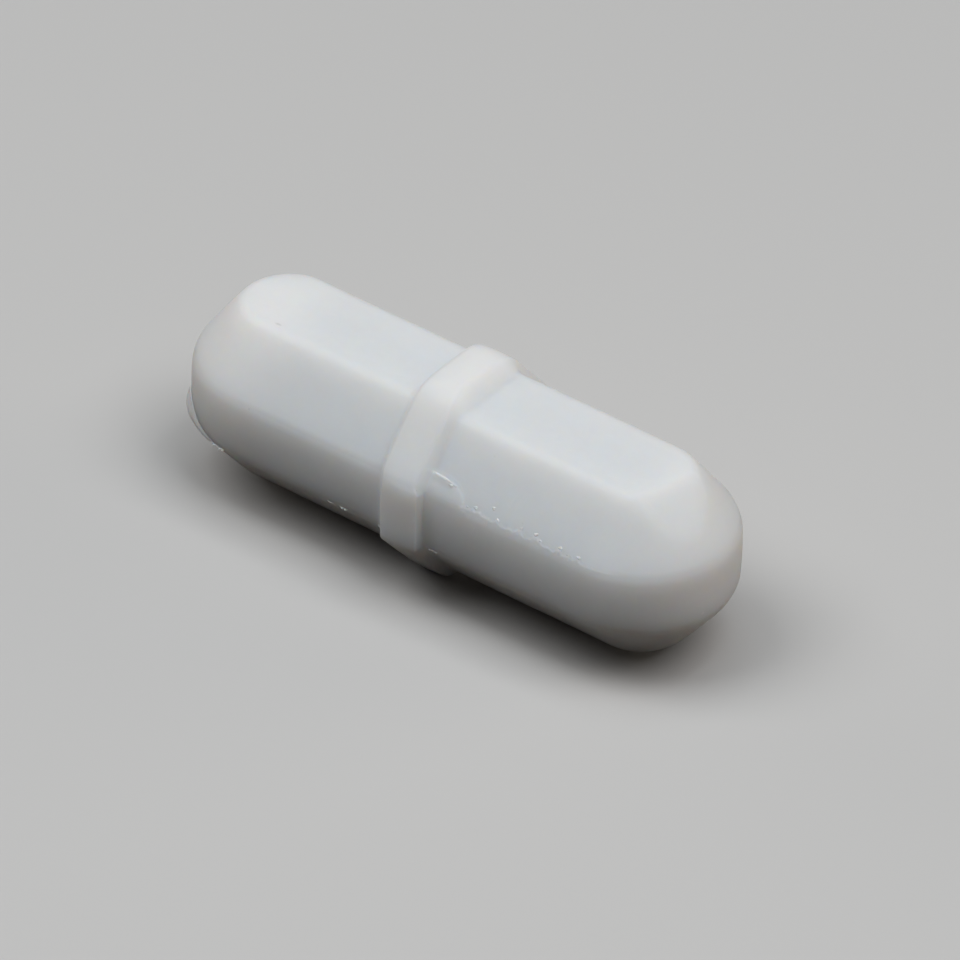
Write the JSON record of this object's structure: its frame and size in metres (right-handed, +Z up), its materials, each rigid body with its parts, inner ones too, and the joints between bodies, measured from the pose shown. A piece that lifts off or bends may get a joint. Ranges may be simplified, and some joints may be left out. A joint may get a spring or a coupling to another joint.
{
  "type": "magnetic stir bar",
  "caption": "Eight-sided magnetic stir bar: a white moulded fluoropolymer jacket with rounded noses and a raised pivot ring at mid-length, sealed round a rod magnet.",
  "frame": {"origin": "lowest point of the pivot ring, under the middle of the bar", "axes": "+X along the bar, +Y across it towards the side without ragged flash, +Z up out of the top flat"},
  "size_m": [0.025, 0.009, 0.009],
  "materials": {
    "jacket": "satin",
    "magnet": "ground"
  },
  "bodies": {
    "root": {"jacket": "jacket", "magnet": "magnet"}
  },
  "joints": []
}
